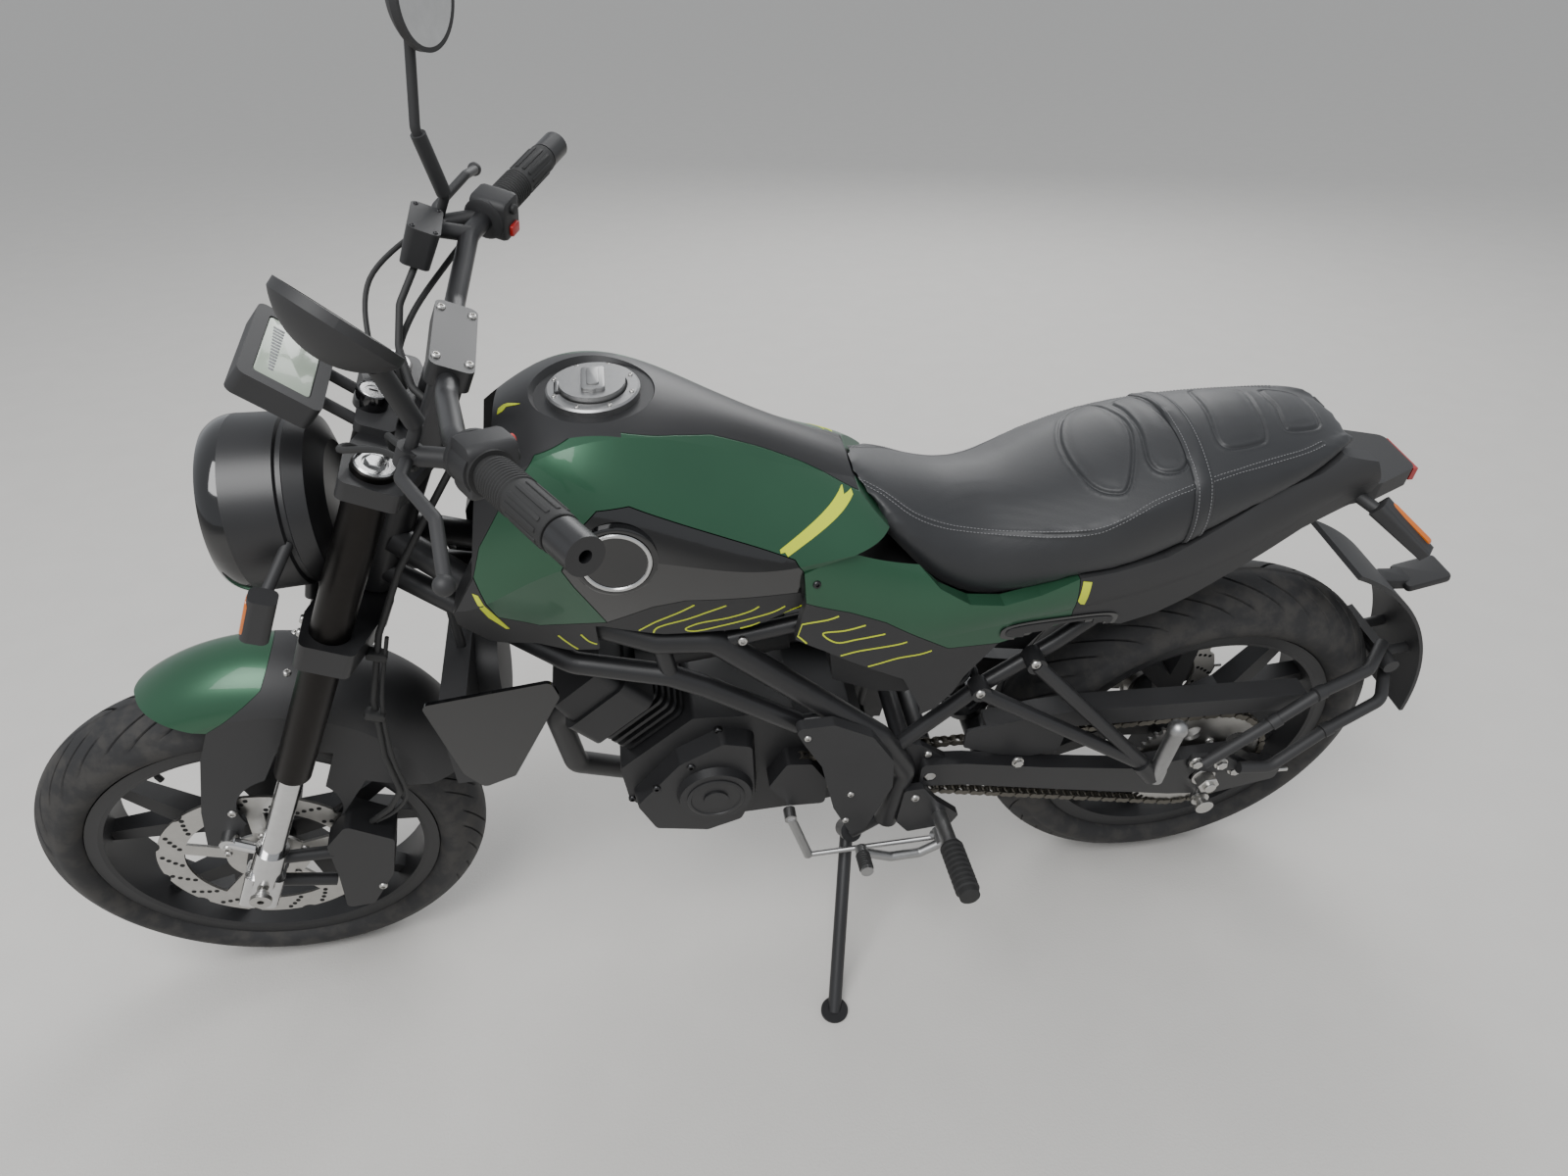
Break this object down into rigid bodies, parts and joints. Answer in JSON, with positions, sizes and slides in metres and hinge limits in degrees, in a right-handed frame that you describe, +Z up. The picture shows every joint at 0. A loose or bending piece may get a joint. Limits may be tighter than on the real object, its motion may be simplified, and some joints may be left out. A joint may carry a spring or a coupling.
{
  "type": "standard motorcycle",
  "caption": "Small naked motorcycle on its side stand: trellis frame, single round headlight, long flat seat, cast wheels and low exhaust, with turning wheels, steering, stand and filler lid.",
  "frame": {"origin": "centre of the bounding box at floor level, with the motorcycle leaning on its side stand", "axes": "+X forwards along the motorcycle, +Y to the rider's left, +Z up from the floor"},
  "size_m": [2.0218, 0.8132, 1.3723],
  "materials": {
    "black_plastic": "matte",
    "bronze_tube": "satin",
    "cast_metal": "satin",
    "chain_steel": "satin",
    "chrome_tube": "polished",
    "clear_lens": "gloss",
    "engine_paint": "satin",
    "frame_paint": "satin",
    "gloss_black": "gloss",
    "green_paint": "satin",
    "mirror_glass": "polished",
    "red_lens": "gloss",
    "seat_leather": "matte",
    "soft_rubber": "matte",
    "steel": "satin",
    "tank_black": "satin",
    "tyre_rubber": "matte"
  },
  "bodies": {
    "chassis": {"airbox": "black_plastic", "belly_covers": "black_plastic", "chain": "chain_steel", "chain_guard": "black_plastic", "engine_case": "engine_paint", "engine_cylinder": "engine_paint", "exhaust": "engine_paint", "foot_levers": "cast_metal", "footrest_hangers": "frame_paint", "frame": "frame_paint", "fuel_cap_ring": "cast_metal", "fuel_tank": "tank_black", "lower_side_covers": "black_plastic", "passenger_footrests": "cast_metal", "pivot_covers": "black_plastic", "plate_carrier": "black_plastic", "radiator": "black_plastic", "radiator_shrouds": "gloss_black", "rear_axle": "steel", "rear_caliper": "engine_paint", "rear_indicators": "black_plastic", "rider_footrests": "cast_metal", "seat": "seat_leather", "shock_absorber": "steel", "side_covers": "green_paint", "splash_guard": "black_plastic", "stand_bracket": "frame_paint", "swingarm": "frame_paint", "tail_cover": "black_plastic", "tail_lamp": "red_lens", "tank_inserts": "gloss_black", "tank_panels": "green_paint"},
    "steering": {"fork_clamps": "frame_paint", "fork_outer_tubes": "bronze_tube", "fork_inner_tubes": "chrome_tube", "front_axle": "steel", "handlebar": "frame_paint", "grips": "soft_rubber", "bar_weights": "frame_paint", "hand_controls": "black_plastic", "mirrors": "black_plastic", "mirror_glasses": "mirror_glass", "headlight_shell": "frame_paint", "headlight_rim": "gloss_black", "headlight_lens": "clear_lens", "instrument": "black_plastic", "front_indicators": "black_plastic", "front_fender_cover": "green_paint", "front_fender": "black_plastic", "front_caliper": "engine_paint", "brake_hoses": "soft_rubber"},
    "front_wheel": {"front_tyre": "tyre_rubber", "front_rim": "engine_paint", "front_disc": "steel"},
    "rear_wheel": {"rear_tyre": "tyre_rubber", "rear_rim": "engine_paint", "rear_disc": "steel", "rear_sprocket": "steel"},
    "stand_leg": {"side_stand": "frame_paint"},
    "filler_lid": {"fuel_cap_lid": "cast_metal"}
  },
  "joints": [
    {"name": "steering", "type": "hinge", "parent": "chassis", "child": "steering", "pos_m": [0.6869, -0.13359, 0.27408], "axis": [-0.4222, 0.1641, 0.8915], "range_deg": [-37.22, 32.78]},
    {"name": "front_wheel_spin", "type": "hinge", "parent": "steering", "child": "front_wheel", "pos_m": [0.71861, -0.12958, 0.28835], "axis": [-0.0351, 0.9798, -0.197], "continuous": true},
    {"name": "rear_wheel_spin", "type": "hinge", "parent": "chassis", "child": "rear_wheel", "pos_m": [-0.65136, -0.12827, 0.30298], "axis": [0, 0.9835, -0.181], "continuous": true},
    {"name": "side_stand_hinge", "type": "hinge", "parent": "chassis", "child": "stand_leg", "pos_m": [-0.1139, -0.05132, 0.21282], "axis": [-0.0823, 0.8105, 0.58], "range_deg": [0, 86]},
    {"name": "filler_lid_hinge", "type": "hinge", "parent": "chassis", "child": "filler_lid", "pos_m": [0.22494, -0.0065, 0.96447], "axis": [0, 0.9835, -0.181], "range_deg": [0, 90]}
  ]
}
